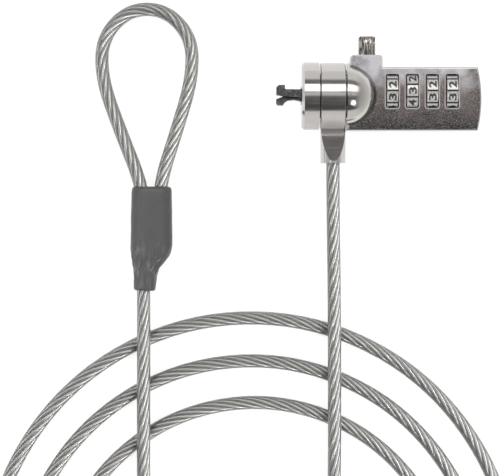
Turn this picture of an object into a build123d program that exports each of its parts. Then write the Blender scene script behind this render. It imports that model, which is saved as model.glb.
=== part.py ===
from build123d import *
import math
import os

# Laptop cable lock: a four-dial head whose two sprung hooks go in the laptop's security slot, and a
# steel cable with an eye for the table leg. Millimetres. +X runs along the barrel from the nose to the
# dial end, +Z points out of the dial face, and the origin is the centre of the nose's front face.

# ---------------------------------------------------------------- nose, ring and barrel
nose_radius = 9.85
nose_length = 5.1
nose_chamfer = 0.7
nose_wall = 1.6
slot_half_height = 2.6
slot_half_width = 3.3
ring_radius = 9.65
ring_length = 7.3
ring_gap = 0.3
dome_gap = 0.35
dome_radius = 9.6
spigot_radius = 6.5
spigot_bore = 5.2
running_gap = 0.05

# ---------------------------------------------------------------- cable and its boss
cable_radius = 2.0
boss_x = 9.25
boss_half_width = 3.7
boss_half_depth = 4.6
boss_end_y = -19.6
boss_flat_start_z = 1.1
boss_flat_end_y = -19.3
boss_flat_start_y = -9.9
stop_radius = 2.25
stop_length = 3.0
stop_floor_y = -17.2

# ---------------------------------------------------------------- dial bar
bar_centre_y = -1.15
bar_half_width = 9.25
bar_back_z = -0.6
face_z = 4.0
bar_end_x = 52.3
bar_end_arc = 40.0
face_edge = 0.5
lug_left = 14.15
lug_right = 23.5
lug_top = 11.65
lug_back_z = -4.2
lug_corner = 1.0
wall = 0.8

# ---------------------------------------------------------------- dials, hubs and spindle
dial_count = 4
dial_pitch = 5.8
first_dial_x = 26.3
dial_axis_y = 1.1
dial_radius = 5.9
dial_width = 3.2
dial_gap = 0.3
groove_count = 10
groove_depth = 0.35
groove_width = 0.55
window_length = 9.9
window_corner = 0.6
rim_width = 0.35
rim_height = 0.18
hub_radius = 3.6
spindle_radius = 1.7
fin_reach = 2.7
fin_width = 1.2
fin_length = 2.0
fin_gap = 0.12
spindle_end_x = 50.6
press_travel = 2.6

# ---------------------------------------------------------------- button
button_left = 16.7
button_right = 21.4
button_top = 17.2
button_half_depth = 2.7
button_gap = 0.25
foot_right = 20.1
foot_bottom = 3.8
ramp_gap = 0.2
button_pin_x = 19.4
button_pin_y = 8.9
button_pin_radius = 0.5
pin_high_z = 1.7

# ---------------------------------------------------------------- hooks
hook_pivot_x = 6.5
hook_layer = 2.8
hook_split = 0.2
hook_tip_x = -7.4
hook_swing = 7.6
hook_pin_radius = 1.0
hook_pin_reach = spigot_radius - 0.4
hook_hub_radius = 2.3
wedge_slope = 0.28
wedge_tip_x = 11.9
wedge_tip_half = 0.6

# ---------------------------------------------------------------- back cover and fastenings
cover_left = 14.5
cover_right = 46.9
cover_low_y = -8.3
cover_high_y = 7.9
cover_seam_z = -3.0
seam = 0.05
rivet_radius = 0.9
rivet_y = dial_axis_y - dial_radius - 2.1
rivet_high_z = -1.0
collar_pin_radius = 0.7
reset_y = -7.0
reset_z = -0.6
reset_radius = 1.6

# ---------------------------------------------------------------- eye end
sleeve_width = 11.8
sleeve_depth = 6.8
neck_width = 6.2
ferrule_width = 10.2
ferrule_depth = 5.2
ferrule_low_y = -43.5
ferrule_high_y = -29.5

table_z = -nose_radius
ring_left = nose_length + ring_gap
ring_right = ring_left + ring_length
dome_x = ring_right + dome_gap
pocket_half = dial_width / 2 + dial_gap
pocket_radius = dial_radius + dial_gap
dial_xs = [first_dial_x + dial_pitch * i for i in range(dial_count)]
first_pocket_x = dial_xs[0] - pocket_half
last_pocket_x = dial_xs[-1] + pocket_half
fin_clear = fin_reach + dial_gap

nodes = {}


def block(x0, x1, y0, y1, z0, z1):
    """A box given by its two corners."""
    place = Pos((x0 + x1) / 2, (y0 + y1) / 2, (z0 + z1) / 2)
    return place * Box(x1 - x0, y1 - y0, z1 - z0)


def rod_x(radius, x0, x1, y=0.0, z=0.0):
    """A round bar along X."""
    return Pos((x0 + x1) / 2, y, z) * Rot(0, 90, 0) * Cylinder(radius, x1 - x0)


def rod_y(radius, y0, y1, x=0.0, z=0.0):
    """A round bar along Y."""
    return Pos(x, (y0 + y1) / 2, z) * Rot(90, 0, 0) * Cylinder(radius, y1 - y0)


def rod_z(radius, z0, z1, x=0.0, y=0.0):
    """A round bar along Z."""
    return Pos(x, y, (z0 + z1) / 2) * Cylinder(radius, z1 - z0)


def plate(outline, z0, z1):
    """A flat plate: a closed outline in X and Y, raised from z0 to z1."""
    face = make_face(Polyline(*outline, close=True))
    return Pos(0, 0, z0) * extrude(face, z1 - z0)


# ================================================================ head casting
def bar_blank():
    """The dial bar: half-round back, straight sides, flat face, and an end that is an arc from above."""
    low_y = bar_centre_y - bar_half_width
    high_y = bar_centre_y + bar_half_width
    back = rod_x(bar_half_width, dome_x, bar_end_x + 1, bar_centre_y, bar_back_z)
    back = back & block(0, 60, low_y - 1, high_y + 1, table_z - 1, bar_back_z)
    sides = block(dome_x, bar_end_x + 1, low_y, high_y, bar_back_z, face_z)
    end = rod_z(bar_end_arc, -20, 20, bar_end_x - bar_end_arc, bar_centre_y)
    bar = (back + sides) & end
    top = bar.faces().sort_by(Axis.Z)[-1]
    rims = [e for e in top.edges() if e.center().X > dome_x + 0.1]
    return fillet(rims, face_edge)


def lug_blank():
    """The boss that the button comes out of, level with the dial face."""
    lug = block(lug_left, lug_right, 2.0, lug_top, lug_back_z, face_z)
    corners = lug.edges().filter_by(Axis.Z).group_by(Axis.Y)[-1]
    lug = fillet(corners, lug_corner)
    return chamfer(lug.faces().sort_by(Axis.Z)[-1].edges().group_by(Axis.Y)[-1], 0.3)


def outer_blank():
    """The whole outside of the head behind the swivel ring."""
    ball = Pos(dome_x, 0, 0) * Sphere(dome_radius)
    dome = ball & block(dome_x, dome_x + dome_radius, -20, 20, -20, 20)
    rims = [window_rim(x) for x in dial_xs]
    spigot = rod_x(spigot_radius, nose_wall, dome_x + 1)
    return bar_blank() + lug_blank() + dome + spigot + rims


def window_rim(x):
    """The raised lip round one window."""
    width = 2 * (pocket_half + rim_width)
    length = window_length + 2 * rim_width
    lip = Pos(x, dial_axis_y, face_z) * Box(width, length, 2 * rim_height)
    return fillet(lip.edges().filter_by(Axis.Z), window_corner + rim_width)


def window_cut(x):
    """One window, right through the face into its pocket."""
    height = face_z + 2
    cut = Pos(x, dial_axis_y, height / 2) * Box(2 * pocket_half, window_length, height)
    return fillet(cut.edges().filter_by(Axis.Z), window_corner)


def cavities():
    """Everything hollow in the head: the chamber, the dial pockets and the spindle's way through."""
    chamber = block(dome_x - 0.01, first_pocket_x - 0.9, -4.2, 7.3, -3.3, 3.3)
    bore = rod_x(spigot_bore, 0, dome_x + 2)
    chute = block(
        button_left - button_gap,
        button_right + button_gap,
        6.0,
        lug_top + 1,
        -button_half_depth - button_gap,
        button_half_depth + button_gap,
    )
    way = rod_x(fin_clear, first_pocket_x, last_pocket_x + fin_length + dial_gap, dial_axis_y)
    end_bore = rod_x(spindle_radius + running_gap, 20, spindle_end_x + dial_gap, dial_axis_y)
    hollow = [chamber, bore, chute, way, end_bore]
    for x in dial_xs:
        left = x - pocket_half
        right = x + pocket_half
        hollow.append(rod_x(pocket_radius, left, right, dial_axis_y))
        hollow.append(window_cut(x))
        low_y = dial_axis_y - pocket_radius
        high_y = dial_axis_y + pocket_radius
        hollow.append(block(left, right, low_y, high_y, cover_seam_z, 0))
    slot_y = spindle_radius + running_gap
    way_end = last_pocket_x + fin_length + dial_gap
    hollow.append(block(20, last_pocket_x, dial_axis_y - slot_y, dial_axis_y + slot_y, cover_seam_z, 0))
    low_y = dial_axis_y - fin_clear
    high_y = dial_axis_y + fin_clear
    hollow.append(block(first_pocket_x, way_end, low_y, high_y, cover_seam_z, 0))
    strip_y = dial_axis_y - dial_radius - 1.4
    hollow.append(block(first_pocket_x, last_pocket_x, strip_y, strip_y + 1.6, -2.6, 2.2))
    return hollow


def cover_space(gap):
    """The part of the head that the back cover fills, less a gap all round."""
    return block(
        cover_left + gap,
        cover_right - gap,
        cover_low_y + gap,
        cover_high_y + 2,
        table_z - 1,
        cover_seam_z - gap,
    ) - block(0, 60, cover_high_y - gap, 20, table_z - 1, 5)


def rivet_xs():
    return [cover_left + 3.0, cover_right - 1.6]


outside = outer_blank()
head = outside
for cut in cavities():
    head = head - cut
reset_bore = rod_x(reset_radius + running_gap, cover_right + 0.6, 60, reset_y, reset_z)
head = head - reset_bore
rivets = [rod_z(rivet_radius, table_z, rivet_high_z, x, rivet_y) & outside for x in rivet_xs()]
hook_pin = rod_z(hook_pin_radius, -hook_pin_reach, hook_pin_reach, hook_pivot_x, 0)
button_pin = rod_z(button_pin_radius, lug_back_z + 0.1, pin_high_z, button_pin_x, button_pin_y)
collar_pin_x = (nose_wall + nose_length) / 2
collar_pin = rod_z(collar_pin_radius, -nose_radius + 0.5, -spigot_bore - 0.2, collar_pin_x, 0)
for pin in [*rivets, hook_pin, button_pin, collar_pin]:
    head = head - pin

nodes["body_case"] = head - cover_space(0)
nodes["back_cover"] = head & cover_space(seam)
nodes["cover_rivets"] = Compound(children=rivets)
nodes["hook_pin"] = hook_pin
nodes["button_pin"] = button_pin
nodes["collar_pin"] = collar_pin

# ================================================================ nose collar
nose = chamfer(rod_x(nose_radius, 0, nose_length).edges().group_by(Axis.X)[0], nose_chamfer)
nose = nose - rod_x(spigot_radius, nose_wall, nose_length + 1)
slot = block(-1, nose_wall + 1, -slot_half_height, slot_half_height, -slot_half_width, slot_half_width)
nose = nose - fillet(slot.edges().filter_by(Axis.X), 0.8)
nodes["nose_collar"] = nose - collar_pin

# ================================================================ swivel ring
ring = chamfer(rod_x(ring_radius, ring_left, ring_right).edges().filter_by(GeomType.CIRCLE), 0.25)
boss_face = Plane(origin=(boss_x, 0, 0), x_dir=(1, 0, 0), z_dir=(0, -1, 0)) * Ellipse(
    boss_half_width, boss_half_depth
)
boss = extrude(boss_face, -boss_end_y)
rise = (boss_half_depth - boss_flat_start_z) / (boss_flat_start_y - boss_flat_end_y)
flat_angle = math.degrees(math.atan(rise))
for side in (1, -1):
    knife = Pos(boss_x, boss_flat_start_y, side * boss_flat_start_z) * Rot(-side * flat_angle, 0, 0)
    boss = boss - knife * Pos(0, 0, side * 10) * Box(20, 60, 20)
ring = ring + boss
ring = ring - rod_x(spigot_radius + running_gap, 0, 20)
stop_end_y = stop_floor_y + stop_length
ring = ring - rod_y(stop_radius + running_gap, stop_floor_y, stop_end_y + running_gap, boss_x)
ring = ring - rod_y(cable_radius + running_gap, boss_end_y - 1, stop_floor_y + 1, boss_x)
nodes["swivel_ring"] = ring
nodes["cable_stop"] = rod_y(stop_radius, stop_floor_y, stop_end_y, boss_x)


# ================================================================ hooks
def hook_blank(outline, z0):
    """One hook: the outline with a round hub at the pivot, bored for the pin."""
    body = plate(outline, z0, z0 + hook_layer)
    hub = rod_z(hook_hub_radius, z0, z0 + hook_layer, hook_pivot_x, 0)
    hole = rod_z(hook_pin_radius + running_gap, -9, 9, hook_pivot_x, 0)
    return body + hub - hole


tail_x = wedge_tip_x + 0.3
upper_outline = [
    (hook_tip_x, 0.1),
    (hook_tip_x, 2.3),
    (hook_tip_x + 0.7, 3.0),
    (-4.9, 3.0),
    (-4.8, 1.8),
    (-0.6, 1.7),
    (0.8, 2.2),
    (hook_pivot_x, 2.3),
    (tail_x, 2.3),
    (tail_x, 0.8),
    (hook_pivot_x + 2.4, 0.55),
    (hook_pivot_x, -2.0),
    (0.8, -1.5),
    (-0.8, -0.5),
    (-4.9, -0.3),
]
lower_outline = [
    (hook_tip_x, -0.9),
    (hook_tip_x, -2.2),
    (hook_tip_x + 0.5, -2.7),
    (-5.4, -2.7),
    (-4.9, -1.9),
    (-4.0, -1.3),
    (-2.2, -1.1),
    (-0.6, -1.4),
    (0.8, -2.1),
    (hook_pivot_x, -2.3),
    (tail_x, -2.3),
    (tail_x, -0.8),
    (hook_pivot_x + 2.4, -0.55),
    (hook_pivot_x, 2.0),
    (0.8, 1.2),
    (-3.0, 0.2),
    (-5.8, -0.3),
]
nodes["hook_upper"] = hook_blank(upper_outline, hook_split / 2)
nodes["hook_lower"] = hook_blank(lower_outline, -hook_split / 2 - hook_layer)


def spring_coil(radius, wire, pitch, turns):
    """A round-wire helical spring standing on the origin along Z."""
    path = Helix(pitch=pitch, height=pitch * turns, radius=radius)
    section = Plane(origin=path @ 0, z_dir=path % 0) * Circle(wire / 2)
    return sweep(section, path=path, is_frenet=True)


spring_wire = 0.45
spring_coil_radius = 1.45
spring_base_z = hook_split / 2 + hook_layer + 0.3
coil = Pos(hook_pivot_x, 0, spring_base_z + 0.1) * spring_coil(spring_coil_radius, spring_wire, 0.5, 2.5)
nodes["hook_spring"] = coil

# ================================================================ button and spindle
ramp_high = foot_bottom + foot_right - button_left
button_outline = [
    (button_left, button_top),
    (button_left, ramp_high),
    (foot_right, foot_bottom),
    (foot_right, 6.6),
    (button_right, 7.6),
    (button_right, button_top),
]
button = plate(button_outline, -button_half_depth, button_half_depth)
button = chamfer(button.faces().sort_by(Axis.Y)[-1].edges(), 0.35)
slot_low = button_pin_y - button_pin_radius - 0.2
slot_high = button_pin_y + button_pin_radius + 0.2 + press_travel
slot_half = button_pin_radius + 0.2
slot_left = button_pin_x - slot_half
slot_right = button_pin_x + slot_half
pin_slot = block(slot_left, slot_right, slot_low, slot_high, -9, pin_high_z + 0.2)
nodes["release_button"] = button - pin_slot

ramp_sum = foot_bottom + foot_right - ramp_gap * math.sqrt(2)
neck_top = 0.4
neck_right = first_pocket_x - 0.9
block_left = tail_x + press_travel + 0.3
block_outline = [
    (block_left, -2.2),
    (block_left, 2.6),
    (block_left + 0.6, 2.6),
    (block_left + 0.6, 6.2),
    (ramp_sum - 6.2, 6.2),
    (ramp_sum - neck_top, neck_top),
    (neck_right + 0.1, neck_top),
    (neck_right + 0.1, -0.6),
    (20.0, -2.2),
]
front = plate(block_outline, -2.6, 2.6)
wedge_root_x = block_left + 0.1
wedge_root_half = wedge_tip_half + (wedge_root_x - wedge_tip_x) * wedge_slope
wedge_outline = [
    (wedge_tip_x, wedge_tip_half),
    (wedge_root_x, wedge_root_half),
    (wedge_root_x, -wedge_root_half),
    (wedge_tip_x, -wedge_tip_half),
]
front = front + plate(wedge_outline, -2.6, 2.6)
keep_round = rod_x(2.9, 0, neck_right - 3.2, dial_axis_y) + block(0, neck_right - 3.2, -9, 9, -9, 9)
neck_limit = keep_round + rod_x(spindle_radius, neck_right - 3.2, 60, dial_axis_y)
front = front & neck_limit
shaft = rod_x(spindle_radius, neck_right, spindle_end_x, dial_axis_y)
spindle = front + shaft
for x in dial_xs:
    start = x + pocket_half
    fin = block(
        start,
        start + fin_length,
        dial_axis_y - fin_reach,
        dial_axis_y,
        -fin_width / 2,
        fin_width / 2,
    )
    spindle = spindle + fin
nodes["spindle"] = spindle


# ================================================================ dials and hubs
def dial(x):
    """One number wheel with a grip groove between each two of its ten digits."""
    left = x - dial_width / 2
    right = x + dial_width / 2
    wheel = rod_x(dial_radius, left, right, dial_axis_y)
    wheel = chamfer(wheel.edges().filter_by(GeomType.CIRCLE), 0.15)
    wheel = wheel - rod_x(hub_radius + running_gap, 0, 60, dial_axis_y)
    tool = Box(dial_width + 1, groove_width, 2 * groove_depth)
    for i in range(groove_count):
        turn = 360 / groove_count * i + first_groove(x)
        wheel = wheel - Pos(x, dial_axis_y, 0) * Rot(turn, 0, 0) * Pos(0, 0, dial_radius) * tool
    return wheel


def first_groove(x):
    """The second wheel stands half a digit round from the others."""
    return 180 / groove_count if dial_xs.index(x) == 1 else 0


def hub(x):
    """The locking hub inside a wheel: one gate for the spindle's fin, one notch for assembly."""
    body = rod_x(hub_radius, x - dial_width / 2, x + dial_width / 2, dial_axis_y)
    body = body - rod_x(spindle_radius + running_gap, 0, 60, dial_axis_y)
    gate = Pos(0, -(fin_reach + fin_gap) / 2, 0) * Box(
        dial_width + 1, fin_reach + fin_gap, fin_width + 2 * fin_gap
    )
    for turn in (0, -90):
        body = body - Pos(x, dial_axis_y, 0) * Rot(turn, 0, 0) * gate
    return body


for number, x in enumerate(dial_xs, 1):
    nodes[f"dial_{number}"] = dial(x)
    nodes[f"hub_{number}"] = hub(x)

# ================================================================ detent spring and reset screw
strip_high_y = dial_axis_y - dial_radius - 0.9
strip_low_y = strip_high_y - 0.3
bump_y = strip_high_y + 0.25
strip = block(first_pocket_x + 0.3, last_pocket_x - 0.3, strip_low_y, strip_high_y, -2.3, -0.6)
for x in dial_xs:
    finger = block(x - 0.9, x + 0.9, strip_low_y, strip_high_y, -2.3, 1.2)
    bump_limit = block(0, 60, strip_low_y, strip_high_y + 0.7, -1, 2)
    bump = rod_x(0.45, x - 0.9, x + 0.9, bump_y, 0.3) & bump_limit
    strip = strip + finger + bump
nodes["detent_spring"] = strip

screw = rod_x(reset_radius, cover_right + 0.8, bar_end_x - 1.4, reset_y, reset_z)
screw_slot = block(bar_end_x - 2.1, bar_end_x, reset_y - 2, reset_y + 2, reset_z - 0.3, reset_z + 0.3)
nodes["reset_screw"] = screw - screw_slot

# ================================================================ cable
coil_turns = [(-14.8, -143.7, 78.3), (-14.7, -147.3, 69.1), (-13.7, -149.2, 58.6)]
table_cable_z = table_z + cable_radius
over_coil_z = table_cable_z + 2 * cable_radius + 0.15


def cord_radii(points):
    """Each corner's arc: 0.45 of the shorter run beside it, over the tangent of half the turn."""
    radii = []
    for before, here, after in zip(points, points[1:], points[2:]):
        a = Vector(*here) - Vector(*before)
        b = Vector(*after) - Vector(*here)
        half_turn = math.radians(a.get_angle(b)) / 2
        radii.append(0.45 * min(a.length, b.length) / math.tan(half_turn))
    return radii


def cord(name, points):
    """A round cable along straight runs joined by tangent arcs."""
    radii = cord_radii(points)
    path = FilletPolyline(*points, radius=radii)
    start = Plane(origin=path @ 0, z_dir=path % 0)
    tube = sweep(start * Circle(cable_radius), path=path)
    wanted = math.pi * cable_radius**2 * path.length
    print(name, "length", round(path.length, 1), "volume ratio", round(tube.volume / wanted, 4))
    print("   radii", [round(r) for r in radii])
    return tube


def arc_points(cx, cy, radius, start, turn, corners, z0, z1):
    """Corner points of a route round a circle, each one just outside it."""
    step = turn / corners
    reach = radius / math.cos(math.radians(step) / 2)
    points = []
    for i in range(corners):
        angle = math.radians(start + step * (i + 0.5))
        z = z0 + (z1 - z0) * (i + 0.5) / corners
        points.append((cx + reach * math.cos(angle), cy + reach * math.sin(angle), z))
    return points


lead_route = [
    (boss_x, stop_floor_y, 0),
    (boss_x, -32, 0),
    (9.65, -60, over_coil_z),
    (9.85, -105, over_coil_z),
    (9.8, -134, table_cable_z),
    (9.8, -158, table_cable_z),
    *arc_points(-25.3, -169.75, 35.05, 0, -119.5, 4, table_cable_z, table_cable_z),
    (-50.3, -195.8, table_cable_z),
]
nodes["cable_lead"] = cord("cable_lead", lead_route)

eye_top_y = 26.5
tilt = (over_coil_z - table_cable_z) / (eye_top_y + 70)


def on_plank(x, y):
    """A point of the stiff eye end, which lies on the coil at one end and the table at the other."""
    return (x, y, table_cable_z + (eye_top_y - y) * tilt)


tail_low_z = table_cable_z + 0.7 * cable_radius
tail_high_z = over_coil_z + 0.6 * cable_radius
tail_route = [
    (11.2, -218.2, table_cable_z),
    *arc_points(-6.4, -181.1, 40.08, -77.3, -102.7, 4, tail_low_z, tail_high_z),
    (-46.4, -160, table_cable_z),
    (-46.6, -128, table_cable_z),
    (-46.5, -107, over_coil_z),
    on_plank(-46.4, -70),
    on_plank(-46.6, ferrule_low_y),
]
nodes["cable_tail"] = cord("cable_tail", tail_route)

eye_route = [
    on_plank(-46.6, ferrule_low_y),
    on_plank(-46.7, -28.0),
    on_plank(-54.1, -8.4),
    on_plank(-59.1, 5.7),
    on_plank(-59.1, 17.9),
    on_plank(-51.25, 26.5),
    on_plank(-40.15, 26.5),
    on_plank(-32.3, 17.9),
    on_plank(-32.3, 5.7),
    on_plank(-36.4, -8.4),
    on_plank(-42.2, -28.0),
    on_plank(-42.3, -41.0),
]
nodes["cable_eye"] = cord("cable_eye", eye_route)

outer_x, outer_y, outer_r = coil_turns[0]
inner_x, inner_y, inner_r = coil_turns[-1]
coil_low = table_z
coil_high = table_z + 2 * cable_radius
hank = rod_z(outer_r + cable_radius, coil_low, coil_high, outer_x, outer_y)
nodes["cable_coil"] = hank - rod_z(inner_r - cable_radius, coil_low - 1, coil_high + 1, inner_x, inner_y)

# ================================================================ sleeve and ferrule of the eye
plank_angle = math.degrees(math.atan(-tilt))


def sleeve_section(x, y, width, depth):
    """A rounded section across the cable, square to the eye end."""
    place = Plane(origin=on_plank(x, y), x_dir=(1, 0, 0), z_dir=(0, 1, math.tan(math.radians(plank_angle))))
    return place * RectangleRounded(width, depth, 0.47 * min(width, depth))


sleeve_top = [sleeve_section(-44.5, -26.4, sleeve_width, sleeve_depth)]
sleeve_mid = [sleeve_section(-44.5, -45.0, sleeve_width, sleeve_depth)]
sleeve_low = [sleeve_section(-46.4, -51.0, neck_width, neck_width)]
sleeve_end = [sleeve_section(-46.4, -57.0, neck_width, neck_width)]
sleeve = loft(sleeve_top + sleeve_mid) + loft(sleeve_mid + sleeve_low) + loft(sleeve_low + sleeve_end)
ferrule = loft(
    [
        sleeve_section(-44.45, ferrule_high_y, ferrule_width, ferrule_depth),
        sleeve_section(-44.45, ferrule_low_y, ferrule_width, ferrule_depth),
    ]
)
cables = [nodes["cable_tail"], nodes["cable_eye"]]
nodes["loop_sleeve"] = sleeve - ferrule - cables
nodes["loop_ferrule"] = ferrule - cables

# ================================================================ write the parts
os.makedirs("parts", exist_ok=True)
for name, shape in nodes.items():
    shape.label = name
    export_step(shape, f"parts/{name}.step")
print(len(nodes), "nodes")
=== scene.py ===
# %% [markdown]
# A laptop cable lock: a chrome head with four number dials and two small hooks that go in the laptop's
# security slot, and a long steel cable that ends in an eye for a table leg. The metal parts come from
# the CAD model as a fixed frame, already in their places. This script adds what a CAD model doesn't
# hold: the twisted cable, the numbers, the shrink sleeve, the finishes, the light and the camera.

# %% Load the frame
import math

import bmesh
import bpy
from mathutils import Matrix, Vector


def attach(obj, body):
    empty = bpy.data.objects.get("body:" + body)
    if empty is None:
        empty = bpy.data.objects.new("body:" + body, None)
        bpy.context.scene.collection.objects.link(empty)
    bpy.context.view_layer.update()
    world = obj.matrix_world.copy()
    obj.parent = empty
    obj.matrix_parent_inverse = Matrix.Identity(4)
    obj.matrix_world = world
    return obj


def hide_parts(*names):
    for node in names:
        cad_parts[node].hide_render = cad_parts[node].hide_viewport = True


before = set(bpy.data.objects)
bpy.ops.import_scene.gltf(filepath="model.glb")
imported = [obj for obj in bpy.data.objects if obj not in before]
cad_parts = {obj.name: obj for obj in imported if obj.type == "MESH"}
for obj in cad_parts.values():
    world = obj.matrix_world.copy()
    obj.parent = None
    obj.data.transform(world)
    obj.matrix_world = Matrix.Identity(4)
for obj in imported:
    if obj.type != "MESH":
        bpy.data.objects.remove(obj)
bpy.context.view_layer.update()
print("frame nodes:", len(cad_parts))

# %% [markdown]
# The lock lies on a table and is seen from straight above. A long lens a good way off keeps the head's
# round nose and its flat dial bar in true proportion, as a catalogue picture would. The lens and the
# distance could be traded against each other, but a short lens close by would swell the nose.

# %% Camera
camera_place = Vector((-0.0152, -0.0416, 0.480))
camera_lens = 118.2
camera_data = bpy.data.cameras.new("camera")
camera_data.lens = camera_lens
camera_data.sensor_width = 36.0
camera_data.sensor_fit = "HORIZONTAL"
camera_data.clip_start = 0.02
camera_data.clip_end = 20.0
camera = bpy.data.objects.new("camera", camera_data)
camera.location = camera_place
bpy.context.collection.objects.link(camera)
bpy.context.scene.camera = camera

# %% [markdown]
# The cable is one fixed length, so its route is one smooth line. It starts in the boss under the swivel
# ring, goes down to the table, winds through a loose coil, comes back over the turns and ends in the
# eye. A few control points for each stretch and twelve or more for each turn are enough: the spline
# rounds the corners by itself. Points sampled along a curve would only make it look like bent wire.

# %% Heights of the route
cable_radius = 0.0020
table_z = -0.00985
on_table = table_z + cable_radius
over_coil = on_table + 2 * cable_radius + 0.00015
eye_top_y = 0.0265
plank_tilt = (over_coil - on_table) / (eye_top_y + 0.070)


def on_plank(x, y):
    """A point of the stiff eye end, which rests on the coil at one end and on the table at the other."""
    return (x, y, on_table + (eye_top_y - y) * plank_tilt)


# %% [markdown]
# The three turns of the coil differ in size and lean apart towards the bottom, as loose turns do where
# nothing ties them. The line passes from one turn to the next on the far side of the coil. Each turn
# has its own centre and radius, and the change from one to the next is eased, so that no kink shows.

# %% Turns of the coil
inner_turn = (-0.0137, -0.1492, 0.0586)
middle_turn = (-0.0147, -0.1473, 0.0691)
outer_turn = (-0.0148, -0.1437, 0.0783)
coil_start = -119.5
coil_end = -1157.3
coil_corners = 37


def eased(value, low, high):
    """0 before low, 1 after high, and a soft step between them."""
    part = min(max((value - low) / (high - low), 0.0), 1.0)
    return part * part * (3 - 2 * part)


def turn_at(angle):
    """Centre and radius of the coil at a wound angle."""
    first = eased(-angle, 385, 515)
    second = eased(-angle, 745, 875)
    place = []
    for a, b, c in zip(inner_turn, middle_turn, outer_turn):
        place.append(a + (b - a) * first + (c - b) * second)
    return place


coil_points = []
coil_step = (coil_end - coil_start) / coil_corners
for i in range(coil_corners):
    wound = coil_start + coil_step * (i + 0.5)
    turn_x, turn_y, turn_radius = turn_at(wound)
    turn_reach = turn_radius / math.cos(math.radians(coil_step) / 2)
    turn_angle = math.radians(wound)
    corner_x = turn_x + turn_reach * math.cos(turn_angle)
    corner_y = turn_y + turn_reach * math.sin(turn_angle)
    coil_points.append((corner_x, corner_y, on_table))
print("coil control points:", len(coil_points), "step, degrees:", round(coil_step, 1))

# %% [markdown]
# Before the coil the cable leaves the boss straight, because the crimped end holds it. After the coil
# it rises over the turns, runs up to the sleeve, and makes the eye: out to one side, round a tight top,
# and back beside itself into the crimp. The lead and the eye are long, nearly straight, springy runs.

# %% The whole route
lead_points = [
    (0.00925, -0.0172, 0.0),
    (0.00925, -0.0320, 0.0),
    (0.00990, -0.0600, over_coil),
    (0.00995, -0.1050, over_coil),
    (0.0098, -0.1340, on_table),
    (0.0098, -0.1580, on_table),
    (0.00975, -0.17910, on_table),
    (0.00043, -0.19532, on_table),
    (-0.01572, -0.20474, on_table),
    (-0.03442, -0.20486, on_table),
]
tail_points = [
    (-0.00650, -0.22221, -0.00596),
    (-0.02430, -0.21811, -0.00497),
    (-0.03857, -0.20670, -0.00398),
    (-0.04648, -0.19023, -0.00299),
    (-0.0464, -0.1600, on_table),
    (-0.0466, -0.1280, on_table),
    (-0.0465, -0.1070, over_coil),
    on_plank(-0.0464, -0.0700),
]
eye_points = [
    on_plank(-0.0466, -0.0435),
    on_plank(-0.0462, -0.0280),
    on_plank(-0.0541, -0.0084),
    on_plank(-0.0591, 0.0057),
    on_plank(-0.0591, 0.0179),
    on_plank(-0.05125, 0.0265),
    on_plank(-0.04015, 0.0265),
    on_plank(-0.0323, 0.0179),
    on_plank(-0.0323, 0.0057),
    on_plank(-0.0364, -0.0084),
    on_plank(-0.0426, -0.0280),
    on_plank(-0.0423, -0.0410),
]
route = [*lead_points, *coil_points, *tail_points, *eye_points]
print("route control points:", len(route))

# %% [markdown]
# The cable's clear vinyl coat is a curve with a round bevel on that one spline. Order 3 keeps the line
# close to its control points. The twisted strands need the same line as points, so a copy of the curve
# without a bevel is turned into a mesh, and its vertices are read in order.

# %% Coat of the cable
def route_curve(name, bevel):
    """A curve object on the cable's route, as thick as bevel, or a bare line where bevel is 0."""
    data = bpy.data.curves.new(name, "CURVE")
    data.dimensions = "3D"
    data.resolution_u = 12
    data.bevel_depth = 1.0 if bevel else 0.0
    data.bevel_resolution = 5
    data.use_fill_caps = True
    spline = data.splines.new("NURBS")
    spline.points.add(len(route) - 1)
    for point, place in zip(spline.points, route):
        point.co = (*place, 1.0)
        point.radius = bevel
    spline.order_u = 3
    spline.use_endpoint_u = True
    curve = bpy.data.objects.new(name, data)
    bpy.context.collection.objects.link(curve)
    return curve


cable_coat = route_curve("cable_coat", cable_radius)
bare_line = route_curve("bare_line", 0.0)
depsgraph = bpy.context.evaluated_depsgraph_get()
line_mesh = bpy.data.meshes.new_from_object(bare_line.evaluated_get(depsgraph))
line_points = [vertex.co.copy() for vertex in line_mesh.vertices]
bpy.data.objects.remove(bare_line)
bpy.data.meshes.remove(line_mesh)
line_length = sum((b - a).length for a, b in zip(line_points, line_points[1:]))
print("cable length, m:", round(line_length, 3))

# %% [markdown]
# A steel cable is strands laid round a core strand in a right-hand helix. Each strand could be painted
# on a smooth tube, but then the outline and the dark grooves would be missing, so six helices and a
# core are wound about the line. A frame is carried along the line without twist, and each strand turns
# about it once in every lay length.

# %% Even steps along the line
lay_length = 0.0262
steps_per_lay = 16


def even_steps(points, spacing):
    """Points of the polyline at even distances, its two ends included."""
    count = max(2, round(line_length / spacing))
    wanted = [line_length * i / count for i in range(count + 1)]
    placed = []
    travelled = 0.0
    index = 0
    for distance in wanted:
        run = (points[index + 1] - points[index]).length
        while travelled + run < distance and index < len(points) - 2:
            travelled += run
            index += 1
            run = (points[index + 1] - points[index]).length
        part = min(1.0, (distance - travelled) / run)
        placed.append(points[index].lerp(points[index + 1], part))
    return placed


centre_line = even_steps(line_points, lay_length / steps_per_lay)
print("steps along the cable:", len(centre_line))

# %% Frames carried along the line
side_vectors = []
up_vectors = []
side = Vector((0, 0, 1))
for i, place in enumerate(centre_line):
    before = centre_line[max(i - 1, 0)]
    after = centre_line[min(i + 1, len(centre_line) - 1)]
    ahead = (after - before).normalized()
    side = (side - ahead * side.dot(ahead)).normalized()
    side_vectors.append(side.copy())
    up_vectors.append(ahead.cross(side))
print("frames:", len(side_vectors))

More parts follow.
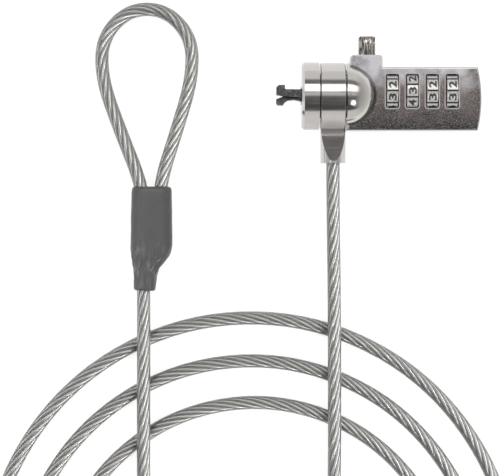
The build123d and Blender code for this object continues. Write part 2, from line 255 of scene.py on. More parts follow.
# %% Strands
strand_radius = 0.00064
strand_reach = 0.00126
strand_count = 6
strand_data = bpy.data.curves.new("strand_lines", "CURVE")
strand_data.dimensions = "3D"
strand_data.bevel_depth = strand_radius
strand_data.bevel_resolution = 2
strand_data.use_fill_caps = True
for strand in range(strand_count + 1):
    spline = strand_data.splines.new("POLY")
    spline.points.add(len(centre_line) - 1)
    reach = strand_reach if strand < strand_count else 0.0
    for i, place in enumerate(centre_line):
        turned = 2 * math.pi * (i / steps_per_lay + strand / strand_count)
        out = side_vectors[i] * math.cos(turned) + up_vectors[i] * math.sin(turned)
        spline.points[i].co = (*(place + out * reach), 1.0)
strand_lines = bpy.data.objects.new("strand_lines", strand_data)
bpy.context.collection.objects.link(strand_lines)
depsgraph = bpy.context.evaluated_depsgraph_get()
strand_mesh = bpy.data.meshes.new_from_object(strand_lines.evaluated_get(depsgraph))
strand_mesh.name = "cable_strands"
bpy.data.objects.remove(strand_lines)
cable_strands = bpy.data.objects.new("cable_strands", strand_mesh)
bpy.context.collection.objects.link(cable_strands)
strand_mesh.shade_smooth()
print("strand faces:", len(strand_mesh.polygons), "maps:", [m.name for m in strand_mesh.uv_layers])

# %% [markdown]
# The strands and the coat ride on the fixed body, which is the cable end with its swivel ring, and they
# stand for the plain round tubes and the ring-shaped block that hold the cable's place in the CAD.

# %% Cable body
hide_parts("cable_lead", "cable_coil", "cable_tail", "cable_eye")
for piece in (cable_coat, cable_strands):
    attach(piece, "cable_end")

# %% [markdown]
# The sleeve over the crimp is heat-shrink tube: wide over the crimp and the two runs of cable, then
# drawn down on the single cable. It is made as rings, one for each station along it, bridged into a
# skin. The drawn-down part puckers a little, so the rings there are pushed in and out by a fraction
# of a millimetre. A box with bevels would miss both the shoulder and the puckers.

# %% Outline of the sleeve
sleeve_stations = [
    # y, left x, right x, depth
    (-0.0264, -0.0493, -0.0391, 0.0052),
    (-0.0266, -0.0498, -0.0386, 0.0060),
    (-0.0270, -0.0500, -0.0383, 0.0066),
    (-0.0278, -0.0501, -0.0382, 0.0068),
    (-0.0345, -0.0503, -0.0381, 0.0068),
    (-0.0440, -0.0504, -0.0380, 0.0068),
    (-0.0456, -0.0504, -0.0384, 0.0067),
    (-0.0472, -0.0502, -0.0392, 0.0066),
    (-0.0488, -0.0498, -0.0404, 0.0064),
    (-0.0504, -0.0495, -0.0417, 0.0062),
    (-0.0522, -0.0494, -0.0425, 0.0061),
    (-0.0562, -0.0494, -0.0429, 0.0060),
    (-0.0568, -0.0493, -0.0430, 0.0059),
    (-0.0571, -0.0490, -0.0434, 0.0052),
]


def sleeve_at(y):
    """Left, right and depth of the sleeve at a place along it."""
    for high, low in zip(sleeve_stations, sleeve_stations[1:]):
        if y >= low[0]:
            part = (high[0] - y) / (high[0] - low[0])
            return [a + (b - a) * part for a, b in zip(high[1:], low[1:])]
    return list(sleeve_stations[-1][1:])


# %% Sleeve skin
sleeve_rings = 44
sleeve_sides = 56
side_squareness = 0.72
face_squareness = 0.86
evenly_from = -0.0275
evenly_to = -0.0565
ring_places = sorted({s[0] for s in sleeve_stations[:3]} | {s[0] for s in sleeve_stations[-3:]})
for i in range(sleeve_rings):
    ring_places.append(evenly_from + (evenly_to - evenly_from) * i / (sleeve_rings - 1))
ring_places.sort(reverse=True)


def pucker(y, angle):
    """How far the shrunk skin stands in or out, in metres."""
    drawn = eased(-y, 0.0420, 0.0480) * (1 - eased(-y, 0.0520, 0.0560))
    folds = math.sin(7 * angle + 900 * y) + 0.6 * math.sin(11 * angle - 1500 * y + 1.3)
    swell = 0.5 * math.sin(3 * angle + 260 * y)
    return (0.00009 * drawn + 0.000018) * folds + 0.00004 * swell


sleeve_mesh = bpy.data.meshes.new("grey_sleeve")
skin = bmesh.new()
ring_edges = []
ring_verts = []
for y in ring_places:
    left, right, depth = sleeve_at(y)
    made = bmesh.ops.create_circle(skin, segments=sleeve_sides, radius=1.0)
    for vertex in made["verts"]:
        angle = math.atan2(vertex.co.y, vertex.co.x)
        wide = math.copysign(abs(vertex.co.x) ** side_squareness, vertex.co.x)
        deep = math.copysign(abs(vertex.co.y) ** face_squareness, vertex.co.y)
        out = pucker(y, angle)
        half_wide = (right - left) / 2 + out
        half_deep = depth / 2 + out
        centre = on_plank((left + right) / 2, y)
        slant = 0.00012 * wide * eased(-y, 0.0540, 0.0571)
        vertex.co = (centre[0] + half_wide * wide, y - slant, centre[2] + half_deep * deep)
    ring_verts.append(made["verts"])
    ring_edges.append([e for e in skin.edges if all(v in made["verts"] for v in e.verts)])
for upper, lower in zip(ring_edges, ring_edges[1:]):
    bmesh.ops.bridge_loops(skin, edges=upper + lower)
for ends in (ring_verts[0], ring_verts[-1]):
    bmesh.ops.contextual_create(skin, geom=ends)
bmesh.ops.recalc_face_normals(skin, faces=skin.faces)
skin.to_mesh(sleeve_mesh)
skin.free()
sleeve_mesh.shade_smooth()
sleeve = bpy.data.objects.new("grey_sleeve", sleeve_mesh)
bpy.context.collection.objects.link(sleeve)
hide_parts("loop_sleeve")
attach(sleeve, "cable_end")
print("sleeve faces:", len(sleeve_mesh.polygons))

# %% [markdown]

# %% [markdown]
# Each dial carries the ten numbers, filled with black enamel and read with the head turned upright, so
# their tops point to the nose. They are made from type, turned into a mesh, cut into narrow strips so
# that they can bend, and wrapped round the dial just proud of its rim. Flat type would sink in the
# middle of each number.

# %% Numbers on a dial
dial_axis_y = 0.0011
dial_radius = 0.0059
dial_pitch = 0.0058
first_dial_x = 0.0263
number_height = 0.00225
number_width = 0.00205
number_proud = 0.00004
number_sunk = 0.00012
strip_width = 0.00025
narrow_one = 0.55
type_size = 0.0032
type_boldness = 0.00008


def number_shape(number):
    """The flat type of one number as a mesh, centred, in its final size."""
    data = bpy.data.curves.new("type", "FONT")
    data.body = str(number)
    data.size = type_size
    data.offset = type_boldness
    data.extrude = (number_proud + number_sunk) / 2
    data.resolution_u = 4
    type_object = bpy.data.objects.new("type", data)
    bpy.context.collection.objects.link(type_object)
    graph = bpy.context.evaluated_depsgraph_get()
    mesh = bpy.data.meshes.new_from_object(type_object.evaluated_get(graph))
    bpy.data.objects.remove(type_object)
    low = [min(v.co[k] for v in mesh.vertices) for k in range(3)]
    high = [max(v.co[k] for v in mesh.vertices) for k in range(3)]
    wide = number_width if number != 1 else number_width * narrow_one
    for vertex in mesh.vertices:
        vertex.co.x = ((vertex.co.x - low[0]) / (high[0] - low[0]) - 0.5) * wide
        vertex.co.y = ((vertex.co.y - low[1]) / (high[1] - low[1]) - 0.5) * number_height
        vertex.co.z = vertex.co.z + (number_proud - number_sunk) / 2
    return mesh


number_meshes = [number_shape(number) for number in range(10)]
print("number meshes:", len(number_meshes))


# %% Wrap the numbers round the dials
def wrapped_numbers(dial, first_angle):
    """All ten numbers of one dial in one mesh; first_angle is where its 0 stands, in degrees."""
    dial_x = first_dial_x + dial_pitch * (dial - 1)
    band = bmesh.new()
    for number, shape in enumerate(number_meshes):
        letter = bmesh.new()
        letter.from_mesh(shape)
        bmesh.ops.remove_doubles(letter, verts=letter.verts, dist=1e-6)
        cuts = int(number_width / strip_width)
        for cut in range(1, cuts):
            at = (-number_width / 2 + cut * strip_width, 0, 0)
            everything = [*letter.verts, *letter.edges, *letter.faces]
            bmesh.ops.bisect_plane(letter, geom=everything, dist=1e-7, plane_co=at, plane_no=(1, 0, 0))
        middle = math.radians(first_angle - 36 * number)
        for vertex in letter.verts:
            angle = middle + vertex.co.x / dial_radius
            radius = dial_radius + vertex.co.z
            across = dial_x - vertex.co.y
            vertex.co = (across, dial_axis_y + radius * math.sin(angle), radius * math.cos(angle))
        bmesh.ops.recalc_face_normals(letter, faces=letter.faces)
        piece = bpy.data.meshes.new("number")
        letter.to_mesh(piece)
        letter.free()
        band.from_mesh(piece)
        bpy.data.meshes.remove(piece)
    mesh = bpy.data.meshes.new(f"dial_{dial}_numbers")
    band.to_mesh(mesh)
    band.free()
    return mesh


dial_numbers = []
for dial in range(1, 5):
    zero_angle = 108 if dial == 2 else 90
    numbers_mesh = wrapped_numbers(dial, zero_angle)
    numbers = bpy.data.objects.new(f"dial_{dial}_numbers", numbers_mesh)
    bpy.context.collection.objects.link(numbers)
    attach(numbers, f"wheel_{dial}")
    dial_numbers.append(numbers)
print("number faces:", [len(n.data.polygons) for n in dial_numbers])

# %% [markdown]
# Finishes. Every one is built from noise and waves on object coordinates, in real millimetres, so that
# a grain is the size of a grain. Small helpers keep each finish short: one for a new material, one for
# a texture, and one to spread a texture's value over a range.


# %% Helpers for finishes
def fill_ramp(ramp, stops):
    """Sets a colour ramp's stops, each a place from 0 to 1 and a colour."""
    ramp.elements[0].position, ramp.elements[0].color = stops[0][0], (*stops[0][1], 1)
    ramp.elements[1].position, ramp.elements[1].color = stops[-1][0], (*stops[-1][1], 1)
    for place, colour in stops[1:-1]:
        ramp.elements.new(place).color = (*colour, 1)


class Finish:
    """A principled material with its nodes at hand."""

    def __init__(self, name, colour, metallic, roughness):
        self.material = bpy.data.materials.new(name)
        self.material.use_nodes = True
        self.nodes = self.material.node_tree.nodes
        self.links = self.material.node_tree.links
        self.shader = self.nodes["Principled BSDF"]
        self.shader.inputs["Base Color"].default_value = (*colour, 1)
        self.shader.inputs["Metallic"].default_value = metallic
        self.shader.inputs["Roughness"].default_value = roughness
        self.coordinates = self.nodes.new("ShaderNodeTexCoord")

    def placed(self, scale=(1, 1, 1), turn=(0, 0, 0), move=(0, 0, 0)):
        """Object coordinates, stretched, turned and moved."""
        node = self.nodes.new("ShaderNodeMapping")
        node.inputs["Scale"].default_value = scale
        node.inputs["Rotation"].default_value = turn
        node.inputs["Location"].default_value = move
        self.links.new(self.coordinates.outputs["Object"], node.inputs["Vector"])
        return node.outputs["Vector"]

    def noise(self, grain, detail=3.0, where=None):
        """Noise whose lumps are about grain metres across."""
        node = self.nodes.new("ShaderNodeTexNoise")
        node.inputs["Scale"].default_value = 1 / grain
        node.inputs["Detail"].default_value = detail
        where = where or self.coordinates.outputs["Object"]
        self.links.new(where, node.inputs["Vector"])
        return node.outputs["Fac"]

    def spread(self, value, low, high, start=0.3, end=0.7):
        """A value between start and end spread over low to high."""
        node = self.nodes.new("ShaderNodeMapRange")
        node.inputs["From Min"].default_value = start
        node.inputs["From Max"].default_value = end
        node.inputs["To Min"].default_value = low
        node.inputs["To Max"].default_value = high
        self.links.new(value, node.inputs["Value"])
        return node.outputs["Result"]

    def sums(self, operation, a, b):
        """One step of arithmetic; each term is a socket or a number."""
        node = self.nodes.new("ShaderNodeMath")
        node.operation = operation
        for socket, term in zip(node.inputs, (a, b)):
            if isinstance(term, (int, float)):
                socket.default_value = term
            else:
                self.links.new(term, socket)
        return node.outputs["Value"]

    def shades(self, value, stops):
        """A colour ramp with stops of (place, colour)."""
        node = self.nodes.new("ShaderNodeValToRGB")
        fill_ramp(node.color_ramp, stops)
        self.links.new(value, node.inputs["Fac"])
        return node.outputs["Color"]

    def mixed(self, share, first, second):
        """A mix of two colours by a share from 0 to 1."""
        node = self.nodes.new("ShaderNodeMix")
        node.data_type = "RGBA"
        self.links.new(share, node.inputs["Factor"])
        for socket, colour in zip((node.inputs[6], node.inputs[7]), (first, second)):
            if isinstance(colour, tuple):
                socket.default_value = (*colour, 1)
            else:
                self.links.new(colour, socket)
        return node.outputs[2]

    def bumps(self, height, depth, strength=1.0):
        """A bump of that depth in metres, on top of any bump before it."""
        node = self.nodes.new("ShaderNodeBump")
        node.inputs["Strength"].default_value = strength
        node.inputs["Distance"].default_value = depth
        self.links.new(height, node.inputs["Height"])
        normal = self.shader.inputs["Normal"]
        if normal.is_linked:
            self.links.new(normal.links[0].from_socket, node.inputs["Normal"])
        self.links.new(node.outputs["Normal"], normal)

    def feed(self, name, value):
        """Joins a value to one of the shader's sockets."""
        self.links.new(value, self.shader.inputs[name])


print("finish helpers ready")

# %% [markdown]
# The head is a zinc casting, polished and chromed. Polished chrome has almost no colour of its own: it
# shows the room. What makes it real is small: a slow waviness left by the polishing wheel, fine
# lengthways rub marks, and, on the flat dial face, a slightly rougher, speckled surface where the wheel
# couldn't reach. The face could be a material of its own, but one casting has one plating, so it is
# found from the place and the direction of the surface in the piece's own space.

# %% Chrome: where the dial face is
chrome_tone = (0.53, 0.515, 0.50)
dial_bar_x = 0.0137
dial_face_z = 0.0037
chrome = Finish("polished_chrome", chrome_tone, 1.0, 0.14)
direction = chrome.nodes.new("ShaderNodeSeparateXYZ")
chrome.links.new(chrome.coordinates.outputs["Normal"], direction.inputs["Vector"])
place = chrome.nodes.new("ShaderNodeSeparateXYZ")
chrome.links.new(chrome.coordinates.outputs["Object"], place.inputs["Vector"])
facing = chrome.spread(direction.outputs["Z"], 0.0, 1.0, 0.990, 0.999)
beyond_nose = chrome.spread(place.outputs["X"], 0.0, 1.0, dial_bar_x - 0.0003, dial_bar_x + 0.0003)
above = chrome.spread(place.outputs["Z"], 0.0, 1.0, dial_face_z - 0.0001, dial_face_z + 0.0001)
flat_face = chrome.sums("MULTIPLY", chrome.sums("MULTIPLY", facing, above), beyond_nose)

# %% [markdown]
# Gloss comes first, because it is what tells chrome from paint. The polished skin gets rub marks, the
# dial face a coarser, cloudier gloss. On the nose and the ring, the side towards the cable is satin,
# because the polishing wheel can't follow the curve round the boss.

# %% Chrome: gloss
drum_end_x = 0.0127
satin_rougher = 0.30
satin_duller = 0.50
speckle = chrome.noise(0.00022, 4.0)
rubs = chrome.noise(0.0009, 5.0, chrome.placed(scale=(0.12, 1.6, 1.6)))
cloud = chrome.noise(0.0052, 3.0, chrome.placed(move=(0.013, 0.004, 0.0)))
soft_gloss = chrome.sums("ADD", chrome.spread(rubs, 0.08, 0.17), chrome.spread(cloud, -0.01, 0.03))
face_gloss = chrome.sums("ADD", chrome.spread(speckle, 0.26, 0.40), chrome.spread(cloud, -0.04, 0.06))
gloss_step = chrome.sums("SUBTRACT", face_gloss, soft_gloss)
gloss = chrome.sums("ADD", soft_gloss, chrome.sums("MULTIPLY", gloss_step, flat_face))
low_side = chrome.spread(direction.outputs["Y"], 1.0, 0.0, -0.72, -0.56)
on_drum = chrome.spread(place.outputs["X"], 1.0, 0.0, drum_end_x, drum_end_x + 0.0003)
satin_low = chrome.sums("MULTIPLY", low_side, on_drum)
satin_rough = chrome.sums("MULTIPLY", satin_low, satin_rougher)
satin_metal = chrome.sums("MULTIPLY", satin_low, satin_duller)
chrome.feed("Roughness", chrome.sums("ADD", gloss, satin_rough))

# %% [markdown]
# The dial face is dark along its lower edge and paler along its upper one, cloudy and flecked. A flat
# face shows only one patch of the room, so it can't take such a shade from there. The shade is painted
# into the face's colour instead, a painted shade that stays with the piece from every side.

# %% Chrome: painted shade of the dial face
face_low_y = -0.0095
face_high_y = 0.0110
# Painted shade: the dial face is painted darker towards its lower edge and paler towards its upper one.
up_face = chrome.spread(place.outputs["Y"], 0.0, 1.0, face_low_y, face_high_y)
lit_share = chrome.sums("MULTIPLY", up_face, chrome.spread(cloud, 0.55, 1.15))
face_painted_shade = chrome.shades(
    lit_share,
    [(0.0, (0.030, 0.028, 0.029)), (0.42, (0.130, 0.111, 0.111)), (0.85, (0.43, 0.43, 0.46))],
)
flecks = chrome.spread(speckle, 0.0, 0.60, 0.55, 0.70)
speckled = chrome.mixed(flecks, face_painted_shade, (0.72, 0.70, 0.68))
head_tone = chrome.mixed(flat_face, chrome_tone, speckled)

# %% [markdown]
# Three small places differ from the rest. The sloping flat on the cable boss is a little darker, the
# raised rims of the dial windows are duller than the face, and the narrow gaps between the nose, the
# ring and the head are painted nearly black, a painted shade for the gaps that light hardly reaches.

# %% Chrome: boss, window rims and painted shade in the gaps
boss_top_y = -0.0097
rim_z = 0.00405
gap_radius = 0.00665
gap_front_x = 0.0008
gap_back_x = 0.01300
on_boss = chrome.spread(place.outputs["Y"], 1.0, 0.0, boss_top_y - 0.0002, boss_top_y)
leaning = chrome.spread(direction.outputs["Y"], 0.0, 1.0, 0.20, 0.30)
boss_flat = chrome.sums("MULTIPLY", on_boss, leaning)
boss_tone = chrome.mixed(boss_flat, head_tone, (0.48, 0.46, 0.46))
on_rim = chrome.spread(place.outputs["Z"], 0.0, 1.0, rim_z, rim_z + 0.00007)
window_rim = chrome.sums("MULTIPLY", flat_face, on_rim)
spoke_y = chrome.sums("MULTIPLY", place.outputs["Y"], place.outputs["Y"])
spoke_z = chrome.sums("MULTIPLY", place.outputs["Z"], place.outputs["Z"])
from_centre = chrome.sums("SQRT", chrome.sums("ADD", spoke_y, spoke_z), 0.0)
within = chrome.spread(from_centre, 1.0, 0.0, gap_radius, gap_radius + 0.0001)
before_dome = chrome.spread(place.outputs["X"], 1.0, 0.0, gap_back_x, gap_back_x + 0.00004)
behind_front = chrome.spread(place.outputs["X"], 0.0, 1.0, gap_front_x, gap_front_x + 0.0002)
# Painted shade: the narrow gaps round the nose and the ring are painted nearly black.
painted_gap_shade = chrome.sums("MULTIPLY", within, chrome.sums("MULTIPLY", before_dome, behind_front))
outer_tone = chrome.mixed(window_rim, boss_tone, (0.38, 0.365, 0.355))
chrome.feed("Base Color", chrome.mixed(painted_gap_shade, outer_tone, (0.05, 0.05, 0.05)))
rim_metal = chrome.spread(window_rim, 1.0, 0.85, 0.0, 1.0)
chrome.feed("Metallic", chrome.sums("SUBTRACT", rim_metal, satin_metal))

# %% Chrome: bumps
waves = chrome.noise(0.0045, 2.0)
chrome.bumps(waves, 0.000012)
chrome.bumps(rubs, 0.0000012)
face_grain = chrome.sums("MULTIPLY", speckle, flat_face)
chrome.bumps(face_grain, 0.000012)
print("chrome nodes:", len(chrome.nodes))

# %% [markdown]
# The release button is bright nickel over a turned blank, with deeper lengthways draw marks than the
# casting has. The hooks are hardened, blackened steel, worn bright where they rub in the slot. Pins
# and rivets are plain bright steel. Each differs in tone, gloss and grain, not only in colour.

# %% Button
nickel = Finish("bright_nickel", (0.80, 0.78, 0.75), 0.90, 0.10)
draw_marks = nickel.noise(0.0006, 4.0, nickel.placed(scale=(2.2, 0.22, 2.2)))
ripples = nickel.noise(0.0022, 2.0, nickel.placed(scale=(1.0, 0.45, 1.0)))
nickel.feed("Roughness", nickel.spread(draw_marks, 0.05, 0.16))
nickel_tone = nickel.shades(draw_marks, [(0.42, (0.09, 0.075, 0.065)), (0.58, (0.44, 0.425, 0.41))])
nickel.feed("Base Color", nickel_tone)
nickel.bumps(ripples, 0.0005)
nickel.bumps(draw_marks, 0.000004)
print("button nodes:", len(nickel.nodes))

# %% Hooks
hook_black = Finish("blackened_steel", (0.20, 0.20, 0.21), 1.0, 0.32)
scale_marks = hook_black.noise(0.0007, 5.0)
worn = hook_black.spread(hook_black.noise(0.0021, 2.0), 0.0, 0.7, 0.52, 0.75)
hook_tone = hook_black.shades(scale_marks, [(0.3, (0.060, 0.060, 0.065)), (0.7, (0.115, 0.115, 0.12))])
hook_black.feed("Base Color", hook_black.mixed(worn, hook_tone, (0.32, 0.32, 0.32)))
hook_black.feed("Roughness", hook_black.spread(scale_marks, 0.16, 0.32))
hook_black.bumps(scale_marks, 0.000005)
print("hook nodes:", len(hook_black.nodes))

# %% Pins and rivets
pin_steel = Finish("pin_steel", (0.58, 0.57, 0.56), 1.0, 0.28)
turning = pin_steel.noise(0.0005, 4.0)
pin_steel.feed("Roughness", pin_steel.spread(turning, 0.20, 0.38))
pin_tone = pin_steel.shades(turning, [(0.3, (0.46, 0.45, 0.44)), (0.7, (0.66, 0.65, 0.64))])
pin_steel.feed("Base Color", pin_tone)
pin_steel.bumps(turning, 0.000006)
print("pin nodes:", len(pin_steel.nodes))

# %% [markdown]
# The dials are nickel-plated, brighter than the face, and the groove between two numbers is coloured
# near black. The groove is found by its distance from the dial's own axis, and the dial's flat sides are
# left bare by asking which way the surface points. Brass hubs and the spindle sit behind them.

# %% Dial plating
groove_floor = 0.00572
groove_lip = 0.00580
dial_plate = Finish("dial_nickel", (0.86, 0.86, 0.85), 1.0, 0.22)
dial_place = dial_plate.nodes.new("ShaderNodeSeparateXYZ")
dial_plate.links.new(dial_plate.coordinates.outputs["Object"], dial_place.inputs["Vector"])
dial_way = dial_plate.nodes.new("ShaderNodeSeparateXYZ")
dial_plate.links.new(dial_plate.coordinates.outputs["Normal"], dial_way.inputs["Vector"])
from_axis = dial_plate.sums("SUBTRACT", dial_place.outputs["Y"], dial_axis_y)
across_square = dial_plate.sums("MULTIPLY", from_axis, from_axis)
depth_square = dial_plate.sums("MULTIPLY", dial_place.outputs["Z"], dial_place.outputs["Z"])
squares = dial_plate.sums("ADD", across_square, depth_square)
distance = dial_plate.sums("SQRT", squares, 0.0)
below_rim = dial_plate.spread(distance, 1.0, 0.0, groove_floor, groove_lip)
side_on = dial_plate.sums("ABSOLUTE", dial_way.outputs["X"], 0.0)
rim_only = dial_plate.spread(side_on, 1.0, 0.0, 0.45, 0.65)
in_groove = dial_plate.sums("MULTIPLY", below_rim, rim_only)
dial_grain = dial_plate.noise(0.0004, 4.0, dial_plate.placed(scale=(2.0, 0.6, 0.6)))
plate_tone = dial_plate.shades(dial_grain, [(0.3, (0.36, 0.355, 0.35)), (0.65, (0.60, 0.60, 0.59))])
dial_plate.feed("Base Color", dial_plate.mixed(in_groove, plate_tone, (0.012, 0.012, 0.013)))
dial_plate.feed("Metallic", dial_plate.spread(in_groove, 0.5, 0.0, 0.4, 0.6))
dial_plate.feed("Roughness", dial_plate.spread(dial_grain, 0.22, 0.40))
dial_plate.bumps(dial_grain, 0.000008)
print("dial nodes:", len(dial_plate.nodes))

# %% Enamel of the numbers
enamel = Finish("black_enamel", (0.012, 0.012, 0.013), 0.0, 0.42)
enamel_wear = enamel.noise(0.0003, 4.0)
enamel.feed("Roughness", enamel.spread(enamel_wear, 0.32, 0.58))
enamel_tone = enamel.shades(enamel_wear, [(0.4, (0.008, 0.008, 0.009)), (0.75, (0.035, 0.034, 0.034))])
enamel.feed("Base Color", enamel_tone)
enamel.bumps(enamel_wear, 0.000006)
print("enamel nodes:", len(enamel.nodes))

# %% Hubs and crimps
brass = Finish("hub_brass", (0.70, 0.50, 0.22), 1.0, 0.30)
lathe = brass.noise(0.0005, 4.0, brass.placed(scale=(2.5, 0.5, 0.5)))
brass.feed("Roughness", brass.spread(lathe, 0.22, 0.42))
brass.feed("Base Color", brass.shades(lathe, [(0.3, (0.55, 0.38, 0.15)), (0.7, (0.78, 0.58, 0.28))]))
brass.bumps(lathe, 0.00001)
crimp_metal = Finish("crimp_aluminium", (0.62, 0.62, 0.63), 1.0, 0.38)
pressed = crimp_metal.noise(0.0008, 5.0)
crimp_metal.feed("Roughness", crimp_metal.spread(pressed, 0.28, 0.50))
crimp_tone = crimp_metal.shades(pressed, [(0.3, (0.50, 0.50, 0.51)), (0.7, (0.72, 0.72, 0.73))])
crimp_metal.feed("Base Color", crimp_tone)
crimp_metal.bumps(pressed, 0.00003)
print("hub and crimp nodes:", len(brass.nodes), len(crimp_metal.nodes))

# %% [markdown]
# Each strand is itself a bundle of fine wires, laid the other way so that they run nearly along the
# cable. They are too fine to model, so waves across the strand's own map carry them as a bump and as
# dark lines between the wires. The strand's map runs once round it and once along its whole length.

# %% Strand wires
strand_steel = Finish("galvanised_strand", (0.60, 0.60, 0.60), 0.75, 0.36)
strand_steel.shader.inputs["Coat Weight"].default_value = 0.6
strand_steel.shader.inputs["Coat Roughness"].default_value = 0.14
strand_map = strand_steel.nodes.new("ShaderNodeSeparateXYZ")
strand_steel.links.new(strand_steel.coordinates.outputs["UV"], strand_map.inputs["Vector"])
wires_round = 8.0
wire_lay_length = 0.0105
wire_lays = line_length / wire_lay_length
along = strand_steel.sums("MULTIPLY", strand_map.outputs["X"], wire_lays)
around = strand_steel.sums("MULTIPLY", strand_map.outputs["Y"], wires_round)
phase = strand_steel.sums("MULTIPLY", strand_steel.sums("ADD", along, around), 2 * math.pi)
wire_wave = strand_steel.sums("SINE", phase, 0.0)
wire_height = strand_steel.spread(wire_wave, 0.0, 1.0, -1.0, 1.0)
tarnish = strand_steel.noise(0.0011, 4.0)
wire_tone = strand_steel.shades(wire_height, [(0.0, (0.15, 0.15, 0.145)), (0.45, (0.46, 0.46, 0.45))])
tarnished = strand_steel.spread(tarnish, 0.0, 0.40)
strand_tone = strand_steel.mixed(tarnished, wire_tone, (0.30, 0.30, 0.29))
strand_steel.feed("Base Color", strand_tone)
strand_steel.feed("Roughness", strand_steel.spread(tarnish, 0.30, 0.44))
strand_steel.bumps(wire_height, 0.000008)
print("wires round a strand:", int(wires_round))

# %% [markdown]
# The coat is clear vinyl about a tenth of a millimetre thick over the strands. It is nearly invisible
# face on and catches the light along its edges, so it is a see-through shader with a thin gloss over
# it that grows with the angle. Haze and small scuffs in the vinyl dull the gloss in places.

# %% Clear coat
vinyl = bpy.data.materials.new("clear_vinyl")
vinyl.use_nodes = True
vinyl_nodes = vinyl.node_tree.nodes
vinyl_links = vinyl.node_tree.links
vinyl_nodes.remove(vinyl_nodes["Principled BSDF"])
clear = vinyl_nodes.new("ShaderNodeBsdfTransparent")
clear.inputs["Color"].default_value = (0.95, 0.95, 0.95, 1)
shine = vinyl_nodes.new("ShaderNodeBsdfGlossy")
shine.inputs["Color"].default_value = (1, 1, 1, 1)
vinyl_place = vinyl_nodes.new("ShaderNodeTexCoord")
haze = vinyl_nodes.new("ShaderNodeTexNoise")
haze.inputs["Scale"].default_value = 1 / 0.0025
haze.inputs["Detail"].default_value = 4
vinyl_links.new(vinyl_place.outputs["Object"], haze.inputs["Vector"])
haze_range = vinyl_nodes.new("ShaderNodeMapRange")
haze_range.inputs["To Min"].default_value = 0.30
haze_range.inputs["To Max"].default_value = 0.50
vinyl_links.new(haze.outputs["Fac"], haze_range.inputs["Value"])
vinyl_links.new(haze_range.outputs["Result"], shine.inputs["Roughness"])
edge_gloss = vinyl_nodes.new("ShaderNodeFresnel")
edge_gloss.inputs["IOR"].default_value = 1.42
vinyl_mix = vinyl_nodes.new("ShaderNodeMixShader")
vinyl_links.new(edge_gloss.outputs["Fac"], vinyl_mix.inputs["Fac"])
vinyl_links.new(clear.outputs["BSDF"], vinyl_mix.inputs[1])
vinyl_links.new(shine.outputs["BSDF"], vinyl_mix.inputs[2])
vinyl_links.new(vinyl_mix.outputs["Shader"], vinyl_nodes["Material Output"].inputs["Surface"])
print("coat nodes:", len(vinyl_nodes))

# %% [markdown]
# Heat-shrink tube is a dull grey rubbery plastic. It has a fine matt grain, faint lighter stress marks
# that run along it where it was drawn down, and a soft sheen on its edges.

# %% Shrink sleeve
shrink_grey = (0.049, 0.049, 0.050)
shrink = Finish("grey_shrink", shrink_grey, 0.0, 0.55)
shrink.shader.inputs["Coat Weight"].default_value = 0.35
shrink.shader.inputs["Coat Roughness"].default_value = 0.22
matt_grain = shrink.noise(0.00035, 4.0)
stress = shrink.noise(0.0016, 4.0, shrink.placed(scale=(1.6, 0.35, 1.6)))
shrink_y = shrink.nodes.new("ShaderNodeSeparateXYZ")
shrink.links.new(shrink.coordinates.outputs["Object"], shrink_y.inputs["Vector"])
drawn_part = shrink.spread(shrink_y.outputs["Y"], 1.0, 0.15, -0.0470, -0.0400)
stress_share = shrink.sums("MULTIPLY", shrink.spread(stress, 0.0, 0.75, 0.50, 0.72), drawn_part)
shrink.feed("Base Color", shrink.mixed(stress_share, shrink_grey, (0.115, 0.115, 0.118)))
shrink.feed("Roughness", shrink.spread(matt_grain, 0.46, 0.66))
shrink.bumps(stress, 0.00012)
shrink.bumps(matt_grain, 0.00002)
print("sleeve finish:", shrink.material.name)

# %% [markdown]
# The CAD nodes come with plain stand-in materials, one for each material slot. Their shapes are right,
# so they only change finish: each slot is matched by its name and gets the finish made for it above.

# %% Put the finishes on
slot_finish = {
    "chrome": chrome.material,
    "button_chrome": nickel.material,
    "hook_steel": hook_black.material,
    "pin_steel": pin_steel.material,
    "dial_metal": dial_plate.material,
    "hub_brass": brass.material,
    "crimp_aluminium": crimp_metal.material,
    "cable": strand_steel.material,
    "grey_sleeve": shrink.material,
}
dressed = 0
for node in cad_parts.values():
    for material_slot in node.material_slots:
        for slot_name, material in slot_finish.items():
            if material_slot.material and material_slot.material.name.split(".")[0] == slot_name:
                material_slot.material = material
                dressed += 1
cable_coat.data.materials.append(vinyl)
cable_strands.data.materials.clear()
cable_strands.data.materials.append(strand_steel.material)
sleeve.data.materials.append(shrink.material)
for numbers in dial_numbers:
    numbers.data.materials.append(enamel.material)
print("CAD slots dressed:", dressed)

# %% [markdown]
# The table is a plain white sweep, bright enough to lose its own shade, as under a catalogue picture.
# Only a little of it is left as a surface that can take a shadow, so the pieces still touch the table.

# %% Table
table_mesh = bpy.data.meshes.new("table")
table_plane = bmesh.new()
bmesh.ops.create_grid(table_plane, x_segments=2, y_segments=2, size=3.0)
bmesh.ops.translate(table_plane, verts=table_plane.verts, vec=(0, 0, table_z - 0.00002))
table_plane.to_mesh(table_mesh)
table_plane.free()
table = bpy.data.objects.new("table", table_mesh)
bpy.context.collection.objects.link(table)
white_sweep = bpy.data.materials.new("white_sweep")
white_sweep.use_nodes = True
sweep_shader = white_sweep.node_tree.nodes["Principled BSDF"]
sweep_shader.inputs["Base Color"].default_value = (0.30, 0.30, 0.30, 1)
sweep_shader.inputs["Roughness"].default_value = 0.9
sweep_shader.inputs["Emission Color"].default_value = (1, 1, 1, 1)
sweep_shader.inputs["Emission Strength"].default_value = 0.80
table_mesh.materials.append(white_sweep)

# %% [markdown]
# Chrome is lit by what surrounds it. The room is a set of long soft panels that run along the head: a
# dark ceiling strip straight above, a bright panel on one side of it, and pale walls. Those strips give
# the round nose its bands. The room is built from the direction of sight alone, as a ramp over the
# angle round the head's axis, so that it stands still when the camera moves.

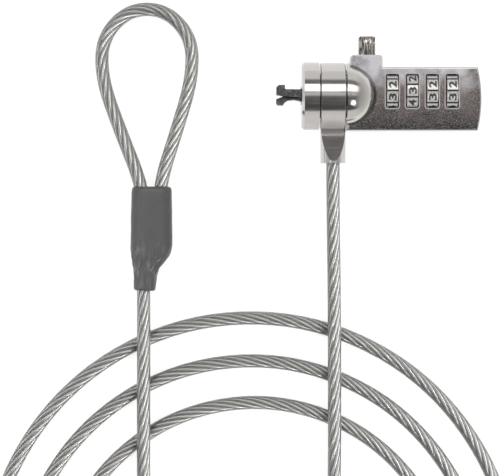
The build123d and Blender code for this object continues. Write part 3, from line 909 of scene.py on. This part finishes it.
# %% Room
world = bpy.data.worlds.new("studio")
bpy.context.scene.world = world
world.use_nodes = True
room_nodes = world.node_tree.nodes
room_links = world.node_tree.links
room_way = room_nodes.new("ShaderNodeTexCoord")
room_parts = room_nodes.new("ShaderNodeSeparateXYZ")
room_links.new(room_way.outputs["Generated"], room_parts.inputs["Vector"])
round_angle = room_nodes.new("ShaderNodeMath")
round_angle.operation = "ARCTAN2"
room_links.new(room_parts.outputs["Y"], round_angle.inputs[0])
room_links.new(room_parts.outputs["Z"], round_angle.inputs[1])
angle_share = room_nodes.new("ShaderNodeMapRange")
angle_share.inputs["From Min"].default_value = -math.pi
angle_share.inputs["From Max"].default_value = math.pi
room_links.new(round_angle.outputs["Value"], angle_share.inputs["Value"])
panel_ramp = room_nodes.new("ShaderNodeValToRGB")
room_links.new(angle_share.outputs["Result"], panel_ramp.inputs["Fac"])
room_panels = [
    # angle from straight up towards +Y in degrees, brightness
    (-110, 1.02),
    (-60, 0.95),
    (-54, 0.09),
    (-22, 0.12),
    (-6, 0.20),
    (-1, 0.80),
    (6, 0.85),
    (9, 0.38),
    (11, 0.45),
    (14, 3.2),
    (33, 3.2),
    (38, 0.20),
    (51, 0.25),
    (57, 0.95),
    (110, 1.02),
]
panel_stops = []
for angle, brightness in room_panels:
    panel_stops.append(((angle + 180) / 360, (brightness, brightness * 0.985, brightness * 0.965)))
fill_ramp(panel_ramp.color_ramp, panel_stops)
wall_ramp = room_nodes.new("ShaderNodeValToRGB")
wall_stops = [(0.0, (0.95, 0.94, 0.92)), (0.45, (0.66, 0.65, 0.63)), (1.0, (0.30, 0.30, 0.30))]
fill_ramp(wall_ramp.color_ramp, wall_stops)
room_links.new(room_parts.outputs["Z"], wall_ramp.inputs["Fac"])
endways = room_nodes.new("ShaderNodeMath")
endways.operation = "ABSOLUTE"
room_links.new(room_parts.outputs["X"], endways.inputs[0])
end_share = room_nodes.new("ShaderNodeMapRange")
end_share.inputs["From Min"].default_value = 0.45
end_share.inputs["From Max"].default_value = 0.72
room_links.new(endways.outputs["Value"], end_share.inputs["Value"])
room_mix = room_nodes.new("ShaderNodeMix")
room_mix.data_type = "RGBA"
room_links.new(end_share.outputs["Result"], room_mix.inputs["Factor"])
room_links.new(panel_ramp.outputs["Color"], room_mix.inputs[6])
room_links.new(wall_ramp.outputs["Color"], room_mix.inputs[7])
background = room_nodes["Background"]
background.inputs["Strength"].default_value = 1.0
room_links.new(room_mix.outputs[2], background.inputs["Color"])
print("room panels:", len(room_panels))

# %% [markdown]
# Lamps add what panels can't. A long strip on the right puts a narrow streak along each strand of the
# cable, and it lights the cable only, so that it leaves no second streak on the chrome. A small spot
# shows as one bright point on the rounded shoulder. A wide, weak fill on the left keeps the far sides
# open.

# %% Lamps
def lamp(name, place, aim, length, width, power):
    """An oblong area lamp that looks at a point; its length runs along Y."""
    data = bpy.data.lights.new(name, "AREA")
    data.shape = "RECTANGLE"
    data.size = length
    data.size_y = width
    data.energy = power
    lamp_object = bpy.data.objects.new(name, data)
    lamp_object.location = place
    lamp_object.rotation_mode = "QUATERNION"
    lamp_object.rotation_quaternion = (Vector(aim) - Vector(place)).to_track_quat("-Z", "Y")
    bpy.context.collection.objects.link(lamp_object)
    return lamp_object


strip = lamp("strip", (0.70, -0.08, 0.84), (-0.02, -0.08, 0.0), 0.85, 0.07, 8.0)
strip_lit = bpy.data.collections.new("strip_lit")
strip_lit.objects.link(cable_strands)
strip_lit.objects.link(cable_coat)
strip.light_linking.receiver_collection = strip_lit
lamp("spot", (0.43, -0.50, 0.84), (0.015, 0.0, 0.0), 0.10, 0.10, 3.5)
lamp("fill", (-0.8, -0.3, 0.9), (-0.02, -0.08, 0.0), 0.5, 0.5, 4.0)
bpy.context.scene.view_settings.view_transform = "Standard"
